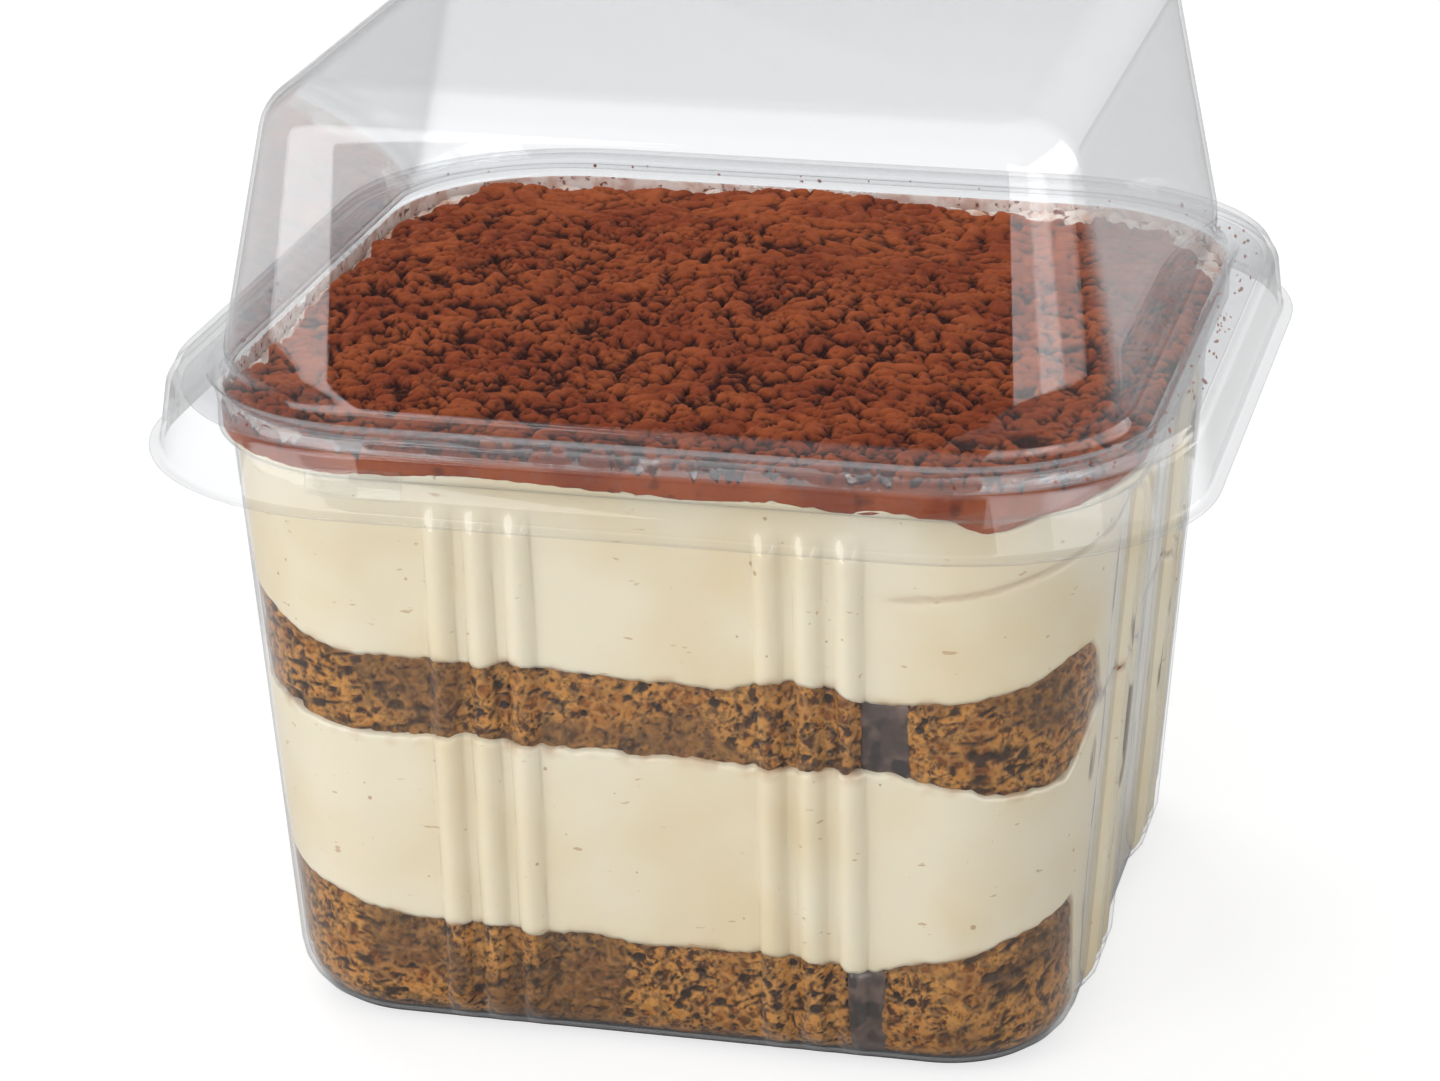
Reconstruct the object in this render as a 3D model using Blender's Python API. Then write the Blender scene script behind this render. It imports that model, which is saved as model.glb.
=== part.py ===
"""A tiramisu in a square clear cup with a tall clear dome lid.

The origin is the centre of the cup's base, +Z is up and -Y is the front.
The food fills the cup in layers: sponge, cream, sponge, cream, cocoa.
"""
import math

import bmesh
import bpy

MM = 0.001

# All sizes below are in millimetres. "Half" is half the width across the flats.
WALL = 0.6
LID_WALL = 0.5
FOOD_GAP = 0.3
CORNER_STEPS = 7

# Cup: a tapering tub with rounded corners, a shoulder near the mouth and a flat rim.
BASE_HALF = 40.5
BODY_HALF = 45.0
BODY_HEIGHT = 60.0
BASE_CORNER = 13.0
BODY_CORNER = 15.5
BASE_FILLET = 5.5
FILLET_STEPS = 3
SHOULDER_Z = 61.2
MOUTH_HALF = 47.2
MOUTH_Z = 62.2
MOUTH_CORNER = 20.0
RIM_TOP = 66.4
RIM_THICK = 0.5
RIM_HALF = 50.8
RIM_CORNER = 24.0

# Ribs: two groups of three half-round ribs stand out from every side of the cup.
RIB_GROUP_X = 16.4
RIB_PITCH = 4.0
RIB_HALF = 1.35
RIB_RISE = 1.1
RIB_TOP = 56.5
RIB_END = 59.0

# Lid: lip, skirt, flat tier, shallow groove and dome, as (half, height) of the outer skin.
LIP_HALF = 54.0
LIP_Z = 60.1
SKIRT_HALF = 52.9
TIER_HALF = 51.9
TIER_Z = 68.0
GROOVE_OUT = 47.9
GROOVE_IN = 46.4
GROOVE_DEPTH = 0.7
DOME_HALF = 45.6
DOME_TOP_HALF = 39.6
DOME_TOP = 98.0
DOME_FILLET = 4.8
LIP_CORNER = 26.0
DOME_CORNER = 14.5
DOME_TOP_CORNER = 7.5

# Food: mean heights of the surfaces between the layers, and where the sponge is parted.
FLOOR_Z = WALL + FOOD_GAP
LOWER_SPONGE_Z = 12.6
LOWER_CREAM_Z = 33.2
UPPER_SPONGE_Z = 42.0
UPPER_CREAM_Z = 62.6
COCOA_Z = 65.4
LOWER_SEAM_X = 21.0
UPPER_SEAM_X = 22.8

# Swells of each surface, as (centre x, half length, rise).
LOWER_SPONGE_SWELLS = [(-45.0, 13.0, 5.0), (22.5, 4.5, -1.6), (49.0, 13.0, 8.0)]
LOWER_CREAM_SWELLS = [(-45.0, 9.0, 3.5), (36.0, 9.0, -2.0), (50.0, 5.5, 8.5)]
UPPER_SPONGE_SWELLS = [(-46.0, 10.0, 5.0), (15.0, 5.0, 1.0), (25.0, 5.0, -1.2), (48.0, 9.0, 5.8)]
UPPER_CREAM_SWELLS = [(20.8, 3.0, -1.2), (34.0, 5.0, -2.6), (50.0, 6.0, 2.0)]
COCOA_SWELLS = [(-2.0, 12.0, 0.5), (24.0, 9.0, 0.3)]

# Rings of points across a surface, as shares of its width, and the cocoa's low lumps.
PLAIN_RINGS = (1.0, 0.7, 0.35)
COCOA_RINGS = (1.0, 0.96, 0.9, 0.8, 0.68, 0.55, 0.4, 0.22)
LUMP_RISE = 0.3
LUMP_LENGTH = 9.0


def outline(half, corner, rib_rise=0.0, rib_half=RIB_HALF, ribbed=False):
    """Points of a rounded square, anticlockwise, as four (corner arc, side points) pairs."""
    sides = []
    for quarter in range(4):
        turn = math.radians(90 * quarter)
        centre = half - corner
        arc = []
        for step in range(CORNER_STEPS + 1):
            angle = math.radians(90 * step / CORNER_STEPS)
            arc.append((centre + corner * math.cos(angle), centre + corner * math.sin(angle)))
        side = rib_points(half, rib_rise, rib_half) if ribbed else []
        sides.append(([turned(p, turn) for p in arc], [turned(p, turn) for p in side]))
    return sides


def turned(point, angle):
    """A flat point turned about the origin."""
    x, y = point
    return (x * math.cos(angle) - y * math.sin(angle), x * math.sin(angle) + y * math.cos(angle))


def rib_points(half, rise, rib_half):
    """The ribs' points along the side that follows the first corner, from +X to -X at y = half."""
    points = []
    for group in (RIB_GROUP_X, -RIB_GROUP_X):
        for place in (1, 0, -1):
            centre = group + place * RIB_PITCH
            for across, out in ((1, 0), (0.5, 1), (-0.5, 1), (-1, 0)):
                points.append((centre + across * rib_half, half + out * rise))
    return points


class Shell:
    """A closed skin built up from rings of points, each joined to the one before it."""

    def __init__(self, cut_corners=False):
        """With cut_corners, every four-sided face is cut in two, always along the same diagonal."""
        self.bm = bmesh.new()
        self.rings = []
        self.cut_corners = cut_corners
        self.inner_first = False

    def add(self, z, sides):
        """Add a ring at height z, in millimetres, or at the height that z gives for a point."""
        ring = []
        for arc, side in sides:
            ring.append([[self.vertex(p, z) for p in arc], [self.vertex(p, z) for p in side]])
        if self.rings:
            self.join(self.rings[-1], ring)
        self.rings.append(ring)

    def vertex(self, point, z):
        height = z(*point) if callable(z) else z
        return self.bm.verts.new((point[0] * MM, point[1] * MM, height * MM))

    def join(self, low, high):
        """Faces between two rings, as strips over the corners and over the sides."""
        for quarter in range(4):
            after = (quarter + 1) % 4
            self.strip(low[quarter][0], high[quarter][0])
            ends = []
            for ring in (low, high):
                ends.append([ring[quarter][0][-1]] + ring[quarter][1] + [ring[after][0][0]])
            if len(ends[0]) == len(ends[1]):
                self.strip(*ends)
            else:
                self.fan(*ends)

    def strip(self, low, high):
        for i in range(len(low) - 1):
            if not self.cut_corners:
                self.bm.faces.new((low[i], low[i + 1], high[i + 1], high[i]))
            elif self.inner_first:
                self.bm.faces.new((low[i], low[i + 1], high[i]))
                self.bm.faces.new((low[i + 1], high[i + 1], high[i]))
            else:
                self.bm.faces.new((low[i], low[i + 1], high[i + 1]))
                self.bm.faces.new((low[i], high[i + 1], high[i]))

    def fan(self, low, high):
        """Triangles between a side with ribs and a plain side."""
        many, few = (low, high) if len(low) > len(high) else (high, low)
        middle = len(many) // 2
        for i in range(len(many) - 1):
            self.bm.faces.new((many[i], many[i + 1], few[0] if i < middle else few[1]))
        self.bm.faces.new((many[middle], few[0], few[1]))

    def cap(self, ring):
        """Close a flat ring with one face."""
        loop = [v for arc, side in ring for v in arc + side]
        self.bm.faces.new(loop)

    def finish(self, name, material):
        bmesh.ops.recalc_face_normals(self.bm, faces=self.bm.faces)
        return make_object(name, self.bm, material)


def make_object(name, bm, material):
    mesh = bpy.data.meshes.new(name)
    bm.to_mesh(mesh)
    bm.free()
    mesh.shade_smooth()
    mesh.set_sharp_from_angle(angle=math.radians(35))
    mesh.materials.append(material)
    obj = bpy.data.objects.new(name, mesh)
    bpy.context.scene.collection.objects.link(obj)
    return obj


def make_material(name, colour, roughness, alpha=1.0):
    material = bpy.data.materials.new(name)
    material.use_nodes = True
    shader = material.node_tree.nodes["Principled BSDF"]
    shader.inputs["Base Color"].default_value = (*colour, 1.0)
    shader.inputs["Roughness"].default_value = roughness
    shader.inputs["Metallic"].default_value = 0.0
    shader.inputs["Alpha"].default_value = alpha
    return material


def lerp(a, b, t):
    return a + (b - a) * t


def cup_half(z):
    """The cup's outer half width at a height on its tapering body."""
    return lerp(BASE_HALF, BODY_HALF, z / BODY_HEIGHT)


def cup_corner(z):
    return lerp(BASE_CORNER, BODY_CORNER, z / BODY_HEIGHT)


def fillet_levels(inset, floor):
    """(height, half width) up the rounded edge of the base, for a skin inset from the outside."""
    radius = BASE_FILLET - inset
    levels = []
    for step in range(FILLET_STEPS + 1):
        angle = math.radians(90 * step / FILLET_STEPS)
        z = floor + radius * (1 - math.cos(angle))
        levels.append((z, cup_half(z) - inset - radius * (1 - math.sin(angle))))
    return levels


def cup_skin(shell, inset, floor, upward):
    """Rings of the cup's ribbed body at an inset from its outer face."""
    rings = []
    for step, (z, half) in enumerate(fillet_levels(inset, floor)):
        tuck = cup_half(z) - inset - half
        rise = RIB_RISE * step / FILLET_STEPS
        rings.append((z, half, cup_corner(z) - inset - tuck, rise))
    for z, rise in ((RIB_TOP, RIB_RISE), (RIB_END, 0.0)):
        rings.append((z, cup_half(z) - inset, cup_corner(z) - inset, rise))
    for z, half, corner, rise in (rings if upward else reversed(rings)):
        shell.add(z, outline(half, corner, rise, RIB_HALF - inset / 2, ribbed=True))


def make_cup(material):
    shell = Shell()
    cup_skin(shell, 0.0, 0.0, upward=True)
    rim_under = RIM_TOP - RIM_THICK
    shell.add(SHOULDER_Z, outline(cup_half(SHOULDER_Z), BODY_CORNER))
    shell.add(MOUTH_Z, outline(MOUTH_HALF, MOUTH_CORNER))
    shell.add(rim_under, outline(MOUTH_HALF, MOUTH_CORNER))
    shell.add(rim_under, outline(RIM_HALF, RIM_CORNER))
    shell.add(RIM_TOP, outline(RIM_HALF, RIM_CORNER))
    shell.add(RIM_TOP, outline(MOUTH_HALF - WALL, MOUTH_CORNER - WALL))
    shell.add(MOUTH_Z + WALL / 2, outline(MOUTH_HALF - WALL, MOUTH_CORNER - WALL))
    shell.add(SHOULDER_Z + WALL / 2, outline(cup_half(SHOULDER_Z) - WALL, BODY_CORNER - WALL))
    cup_skin(shell, WALL, WALL, upward=False)
    shell.cap(shell.rings[0])
    shell.cap(shell.rings[-1])
    return shell.finish("cup", material)


def lid_profile(inset):
    """(height, half width, corner radius) from the lip to the dome's flat top."""
    profile = []
    if inset == 0:
        profile.append((LIP_Z, LIP_HALF, LIP_CORNER))
        profile.append((LIP_Z + LID_WALL, LIP_HALF, LIP_CORNER))
        profile.append((LIP_Z + LID_WALL, SKIRT_HALF, LIP_CORNER - 1))
    else:
        profile.append((LIP_Z, SKIRT_HALF - inset, LIP_CORNER - 1 - inset))
    profile.append((TIER_Z - 0.6, TIER_HALF + 0.5 - inset, LIP_CORNER - inset))
    profile.append((TIER_Z - inset, TIER_HALF - inset / 2, LIP_CORNER - inset))
    groove = TIER_Z - GROOVE_DEPTH - inset
    profile.append((TIER_Z - inset, GROOVE_OUT + 0.3 - inset / 2, 21.0))
    profile.append((groove, GROOVE_OUT - 0.4 - inset / 4, 20.5))
    profile.append((groove, GROOVE_IN - inset / 2, 19.0))
    profile.append((TIER_Z, DOME_HALF - inset, DOME_CORNER - inset))
    radius = DOME_FILLET - inset
    top = DOME_TOP - inset
    for step in range(FILLET_STEPS + 1):
        angle = math.radians(90 * step / FILLET_STEPS)
        z = top - radius * (1 - math.sin(angle))
        rise = (z - TIER_Z) / (DOME_TOP - TIER_Z)
        tuck = radius * (1 - math.cos(angle))
        half = lerp(DOME_HALF, DOME_TOP_HALF, rise) - inset - tuck
        corner = lerp(DOME_CORNER, DOME_TOP_CORNER, rise) - inset - tuck
        profile.append((z, half, corner))
    return profile


def make_lid(material):
    shell = Shell()
    for z, half, corner in reversed(lid_profile(0.0)):
        shell.add(z, outline(half, corner))
    for z, half, corner in lid_profile(LID_WALL):
        shell.add(z, outline(half, corner))
    shell.cap(shell.rings[0])
    shell.cap(shell.rings[-1])
    return shell.finish("lid", material)


def surface(mean, swells, offset=0.0):
    """The height of a surface between two layers, as a function of x and y."""
    def height(x, y):
        z = mean + offset + 0.35 * math.sin(0.16 * x + 0.05 * y) + 0.3 * math.sin(0.13 * y + 1.0)
        for centre, half_length, rise in swells:
            z += rise * math.exp(-((x - centre) / half_length) ** 2)
        return z
    return height


def cocoa_top(x, y):
    """The cocoa's heaped surface: the layer's swells with low lumps on them."""
    turn = 2 * math.pi / LUMP_LENGTH
    lumps = math.sin(turn * (x + 0.4 * y)) * math.sin(turn * (y - 0.3 * x) + 1.0)
    return surface(COCOA_Z, COCOA_SWELLS)(x, y) + LUMP_RISE * lumps


def food_ring(height, shrink=1.0):
    """Outline just inside the cup's inner wall where a surface meets it, or a smaller copy of it."""
    inset = WALL + FOOD_GAP
    middle = height(0.0, -BODY_HALF)
    ring = []
    for arc, side in outline(cup_half(middle) - inset, cup_corner(middle) - inset):
        placed = []
        for x, y in arc:
            scale = (cup_half(height(x, y)) - inset) / (cup_half(middle) - inset)
            placed.append((x * scale * shrink, y * scale * shrink))
        ring.append((placed, side))
    return ring


def add_surface(shell, height, shrinks):
    for shrink in shrinks:
        shell.add(height, food_ring(height, shrink))


def close_centre(shell, ring, height):
    """Close a small inner ring with triangles that meet at the middle."""
    centre = shell.bm.verts.new((0.0, 0.0, height(0.0, 0.0) * MM))
    loop = [v for arc, _ in ring for v in arc]
    for i, vertex in enumerate(loop):
        shell.bm.faces.new((vertex, loop[(i + 1) % len(loop)], centre))


def layer(bottom, top, top_rings=PLAIN_RINGS):
    """The solid between two surfaces."""
    shell = Shell(cut_corners=True)
    shell.inner_first = True
    add_surface(shell, bottom, reversed(PLAIN_RINGS))
    shell.inner_first = False
    add_surface(shell, top, top_rings)
    close_centre(shell, shell.rings[0], bottom)
    close_centre(shell, shell.rings[-1], top)
    return shell


def base_layer(top):
    """The solid between the cup's flat floor, with its rounded edge, and a surface."""
    shell = Shell(cut_corners=True)
    inset = WALL + FOOD_GAP
    for z, half in fillet_levels(inset, FLOOR_Z):
        tuck = cup_half(z) - inset - half
        shell.add(z, outline(half, cup_corner(z) - inset - tuck))
    add_surface(shell, top, PLAIN_RINGS)
    shell.cap(shell.rings[0])
    close_centre(shell, shell.rings[-1], top)
    return shell


def part_in_two(shell, seam, names, material):
    """Cut a layer across at x = seam, and leave a narrow gap between the two pieces."""
    bmesh.ops.recalc_face_normals(shell.bm, faces=shell.bm.faces)
    for name, side in zip(names, (-1, 1)):
        bm = shell.bm.copy()
        bmesh.ops.bisect_plane(
            bm, geom=bm.verts[:] + bm.edges[:] + bm.faces[:], dist=1e-7,
            plane_co=((seam + side * FOOD_GAP / 2) * MM, 0.0, 0.0), plane_no=(side, 0.0, 0.0),
            clear_inner=True)
        rim = [edge for edge in bm.edges if edge.is_boundary]
        bmesh.ops.holes_fill(bm, edges=rim, sides=0)
        bmesh.ops.recalc_face_normals(bm, faces=bm.faces)
        make_object(name, bm, material)
    shell.bm.free()


def make_food():
    cream = make_material("cream", (0.84, 0.74, 0.53), 0.5)
    sponge = make_material("sponge", (0.42, 0.24, 0.10), 0.8)
    cocoa = make_material("cocoa", (0.21, 0.06, 0.025), 0.9)
    half_gap = FOOD_GAP / 2
    lower_sponge = (LOWER_SPONGE_Z, LOWER_SPONGE_SWELLS)
    lower_cream = (LOWER_CREAM_Z, LOWER_CREAM_SWELLS)
    upper_sponge = (UPPER_SPONGE_Z, UPPER_SPONGE_SWELLS)
    upper_cream = (UPPER_CREAM_Z, UPPER_CREAM_SWELLS)

    shell = base_layer(surface(*lower_sponge, -half_gap))
    part_in_two(shell, LOWER_SEAM_X, ("sponge_lower_long", "sponge_lower_end"), sponge)
    shell = layer(surface(*lower_sponge, half_gap), surface(*lower_cream, -half_gap))
    shell.finish("cream_lower", cream)
    shell = layer(surface(*lower_cream, half_gap), surface(*upper_sponge, -half_gap))
    part_in_two(shell, UPPER_SEAM_X, ("sponge_upper_long", "sponge_upper_end"), sponge)
    shell = layer(surface(*upper_sponge, half_gap), surface(*upper_cream, -half_gap))
    shell.finish("cream_upper", cream)
    shell = layer(surface(*upper_cream, half_gap), cocoa_top, COCOA_RINGS)
    shell.finish("cocoa", cocoa)


def main():
    for obj in list(bpy.data.objects):
        bpy.data.objects.remove(obj, do_unlink=True)
    plastic = make_material("clear_plastic", (0.93, 0.94, 0.95), 0.05, 0.3)
    lid_plastic = make_material("lid_plastic", (0.93, 0.94, 0.95), 0.05, 0.3)
    make_cup(plastic)
    make_lid(lid_plastic)
    make_food()


main()
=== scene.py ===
import math
import random

import bmesh
import bpy
from mathutils import Euler, Matrix, Vector, noise


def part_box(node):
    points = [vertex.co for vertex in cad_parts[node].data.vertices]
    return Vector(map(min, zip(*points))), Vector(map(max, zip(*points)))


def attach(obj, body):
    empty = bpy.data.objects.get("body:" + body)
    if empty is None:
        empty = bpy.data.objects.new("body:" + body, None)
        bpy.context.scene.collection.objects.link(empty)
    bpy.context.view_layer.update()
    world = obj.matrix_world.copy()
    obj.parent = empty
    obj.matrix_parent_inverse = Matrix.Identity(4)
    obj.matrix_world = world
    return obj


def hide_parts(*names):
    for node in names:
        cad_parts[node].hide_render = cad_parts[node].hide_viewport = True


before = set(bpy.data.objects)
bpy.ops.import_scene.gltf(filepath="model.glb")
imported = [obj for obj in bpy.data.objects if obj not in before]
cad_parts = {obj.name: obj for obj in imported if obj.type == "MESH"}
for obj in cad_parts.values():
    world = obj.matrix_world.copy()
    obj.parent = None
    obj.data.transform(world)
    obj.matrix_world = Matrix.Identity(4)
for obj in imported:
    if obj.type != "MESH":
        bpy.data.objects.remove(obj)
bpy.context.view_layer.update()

MM = 0.001

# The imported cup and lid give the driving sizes, all in millimetres from here on.
CUP_LOW, CUP_HIGH = (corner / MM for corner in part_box("cup"))
LID_LOW, LID_HIGH = (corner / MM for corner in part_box("lid"))

# Cup: wall, half widths and corner radii of the outer skin, heights above the base.
WALL = 0.5
BASE_HALF = 40.5
BODY_HALF = 45.0
BODY_HEIGHT = 60.0
BASE_CORNER = 13.0
BODY_CORNER = 15.5
BASE_FILLET = 5.5
SHOULDER_Z = 61.2
MOUTH_HALF = 47.2
MOUTH_Z = 62.2
MOUTH_CORNER = 20.0
RIM_TOP = CUP_HIGH.z
RIM_THICK = 0.45
RIM_HALF = CUP_HIGH.x
RIM_CORNER = 24.0
RIB_GROUP = 16.4
RIB_PITCH = 4.0
RIB_HALF = 1.4
RIB_RISE = 1.1
RIB_TOP = 56.0
RIB_END = 59.5

# Lid: half widths and heights of the outer skin.
LID_WALL = 0.4
LIP_HALF = LID_HIGH.x
LIP_Z = LID_LOW.z
LIP_CORNER = 26.0
LIP_RINGS = 14
SKIRT_HALF = 52.9
TIER_HALF = 51.9
TIER_Z = 68.0
GROOVE_OUT = 48.1
GROOVE_IN = 46.9
GROOVE_DEPTH = 0.7
DOME_HALF = 45.6
DOME_CORNER = 13.5
DOME_FLARE = 4.0
DOME_TOP_HALF = 39.6
DOME_TOP_CORNER = 7.5
DOME_TOP = LID_HIGH.z
DOME_FILLET = 4.6

# Food: mean heights of the surfaces between the layers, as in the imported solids.
LOWER_SPONGE_Z = 12.6
LOWER_CREAM_Z = 33.2
UPPER_SPONGE_Z = 42.0
UPPER_CREAM_Z = 62.6
COCOA_Z = 65.4
LOWER_SPONGE_SWELLS = [(-45.0, 13.0, 5.0), (22.5, 4.5, -1.6), (49.0, 13.0, 8.0)]
LOWER_CREAM_SWELLS = [(-45.0, 9.0, 3.5), (36.0, 9.0, -2.0), (50.0, 5.5, 8.5)]
UPPER_SPONGE_SWELLS = [(-46.0, 10.0, 5.0), (15.0, 5.0, 1.0), (25.0, 5.0, -1.2), (48.0, 9.0, 5.8)]
UPPER_CREAM_SWELLS = [(20.8, 3.0, -1.2), (34.0, 5.0, -2.6), (50.0, 6.0, 2.0)]
COCOA_SWELLS = [(-2.0, 12.0, 0.5), (24.0, 9.0, 0.3)]
MEETING_Z = 38.3
FOOD_INSET = WALL - 0.08
SPONGE_INSET = WALL + 0.02

# A fold line that the spoon left in the upper cream, rising towards the front right corner, sunk a little and
# darkened with painted shade.
FOLD_X = 24.0
FOLD_Z = 52.7
FOLD_RISE = 0.0115

# Where the sponges are parted: the long piece ends and the end piece starts.
UPPER_SEAM = (22.5, 25.1)
LOWER_SEAM = (20.9, 22.4)


# ---------------------------------------------------------------- small maths

def lerp(a, b, t):
    return a + (b - a) * t


def smooth(low, high, x):
    """0 below low, 1 above high, and an even rise between them."""
    t = min(1.0, max(0.0, (x - low) / (high - low)))
    return t * t * (3.0 - 2.0 * t)


def rough(x, y, z, size, shift=0.0):
    """Noise between about -1 and 1 with lumps of a given size."""
    return noise.noise(Vector((x / size + shift, y / size - shift, z / size + 2.0 * shift)))


def linear(red, green, blue):
    """A screen colour from 0 to 255 as the linear colour that shaders take."""
    channels = []
    for value in (red, green, blue):
        share = value / 255.0
        channels.append(share / 12.92 if share <= 0.04045 else ((share + 0.055) / 1.055) ** 2.4)
    return (*channels, 1.0)


# ---------------------------------------------------------------- node expressions

class Value:
    """A number socket that takes part in sums."""

    def __init__(self, paint, socket):
        self.paint = paint
        self.socket = socket

    def maths(self, operation, first, second):
        node = self.paint.add("ShaderNodeMath", {"operation": operation}, {0: first, 1: second})
        return Value(self.paint, node.outputs[0])

    def __add__(self, other):
        return self.maths("ADD", self, other)

    def __radd__(self, other):
        return self.maths("ADD", other, self)

    def __sub__(self, other):
        return self.maths("SUBTRACT", self, other)

    def __rsub__(self, other):
        return self.maths("SUBTRACT", other, self)

    def __mul__(self, other):
        return self.maths("MULTIPLY", self, other)

    def __rmul__(self, other):
        return self.maths("MULTIPLY", other, self)

    def __pow__(self, other):
        return self.maths("POWER", self, other)

    def above(self, low, high):
        """0 below low, 1 above high, and an even rise between them."""
        settings = {"interpolation_type": "SMOOTHSTEP"}
        node = self.paint.add("ShaderNodeMapRange", settings, {0: self, 1: low, 2: high})
        return Value(self.paint, node.outputs[0])


class Paint:
    """One material's nodes."""

    def __init__(self, name):
        self.material = bpy.data.materials.new(name)
        self.material.use_nodes = True
        self.tree = self.material.node_tree
        self.tree.nodes.clear()
        self.output = self.add("ShaderNodeOutputMaterial")
        self.place = self.add("ShaderNodeTexCoord").outputs["Object"]

    def add(self, kind, settings=None, sockets=None):
        """A node of any type, with its settings made first and its sockets set or linked."""
        node = self.tree.nodes.new(kind)
        for name, value in (settings or {}).items():
            setattr(node, name, value)
        for name, value in (sockets or {}).items():
            if isinstance(value, Value):
                value = value.socket
            if isinstance(value, bpy.types.NodeSocket):
                self.tree.links.new(value, node.inputs[name])
            else:
                node.inputs[name].default_value = value
        return node

    def stretched(self, x, y, z):
        """The object's own place, in millimetres, stretched along each axis."""
        scale = (x / MM, y / MM, z / MM)
        return self.add("ShaderNodeMapping", {}, {"Vector": self.place, "Scale": scale}).outputs[0]

    def noise(self, size, detail=2.0, roughness=0.5, stretch=(1.0, 1.0, 1.0)):
        """Noise from 0 to 1 with lumps of a size in millimetres."""
        vector = self.stretched(*(share / size for share in stretch))
        sockets = {"Vector": vector, "Scale": 1.0, "Detail": detail, "Roughness": roughness}
        return Value(self, self.add("ShaderNodeTexNoise", {}, sockets).outputs[0])

    def cells(self, size, feature="F1"):
        """Distance from the middle of the nearest cell, or from the wall between cells."""
        sockets = {"Vector": self.stretched(1 / size, 1 / size, 1 / size), "Scale": 1.0}
        node = self.add("ShaderNodeTexVoronoi", {"feature": feature}, sockets)
        return Value(self, node.outputs["Distance"])

    def axis(self, name):
        """One coordinate of the object's own place, in millimetres."""
        node = self.add("ShaderNodeSeparateXYZ", {}, {0: self.place})
        return Value(self, node.outputs[name]) * (1.0 / MM)

    def attribute(self, name):
        node = self.add("ShaderNodeAttribute", {"attribute_name": name})
        return Value(self, node.outputs["Fac"])

    def mix(self, first, second, factor):
        """One colour turning into another."""
        sockets = {0: factor, 6: first, 7: second}
        return self.add("ShaderNodeMix", {"data_type": "RGBA"}, sockets).outputs[2]

    def bump(self, height, distance, strength=1.0):
        sockets = {"Height": height, "Distance": distance * MM, "Strength": strength}
        return self.add("ShaderNodeBump", {}, sockets).outputs[0]

    def surface(self, shader):
        self.tree.links.new(shader.outputs[0], self.output.inputs["Surface"])
        return self.material


# ---------------------------------------------------------------- materials

def cream_material():
    """Smooth pale mascarpone cream, with a few coffee specks and brown streaks at the right."""
    paint = Paint("cream")
    pale = linear(240, 229, 203)
    warm = linear(232, 215, 178)
    base = paint.mix(pale, warm, paint.noise(16.0, 2.0).above(0.35, 0.7))
    speck_size = paint.noise(6.0, 1.0).above(0.52, 0.75) * 0.13
    specks = 1.0 - (paint.cells(1.9) - speck_size).above(0.0, 0.06)
    base = paint.mix(base, linear(178, 138, 84), specks * 0.7)
    smears = paint.noise(1.6, 2.0, 0.5, (0.5, 1.0, 1.8)).above(0.7, 0.75)
    base = paint.mix(base, linear(186, 142, 88), smears * 0.6)
    # Darkened where the cream meets the sponge, by coffee staining, and along the fold, by painted shade.
    edge = paint.attribute("stain_and_fold_shade")
    base = paint.mix(base, linear(196, 158, 118), edge)
    streaks = paint.noise(3.0, 2.0, 0.5, (1.0, 1.3, 0.22)).above(0.6, 0.66)
    side = paint.axis("X") - paint.axis("Z") * ((BODY_HALF - BASE_HALF) / BODY_HEIGHT)
    right = side.above(BASE_HALF - 0.9, BASE_HALF - 0.6) * (1.0 - paint.axis("Z").above(57.0, 60.0))
    base = paint.mix(base, linear(96, 66, 48), streaks * right * 0.85)
    height = paint.noise(5.0, 2.0) + paint.noise(1.4, 2.0) * 0.12
    shader = paint.add("ShaderNodeBsdfPrincipled", {}, {
        "Base Color": base,
        "Roughness": 0.38 + paint.noise(9.0) * 0.2,
        "Normal": paint.bump(height, 0.35, 0.5),
        "Subsurface Weight": 0.15,
        "Subsurface Scale": 2.0 * MM,
        "Subsurface Radius": (1.0, 0.7, 0.4),
    })
    return paint.surface(shader)


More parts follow.
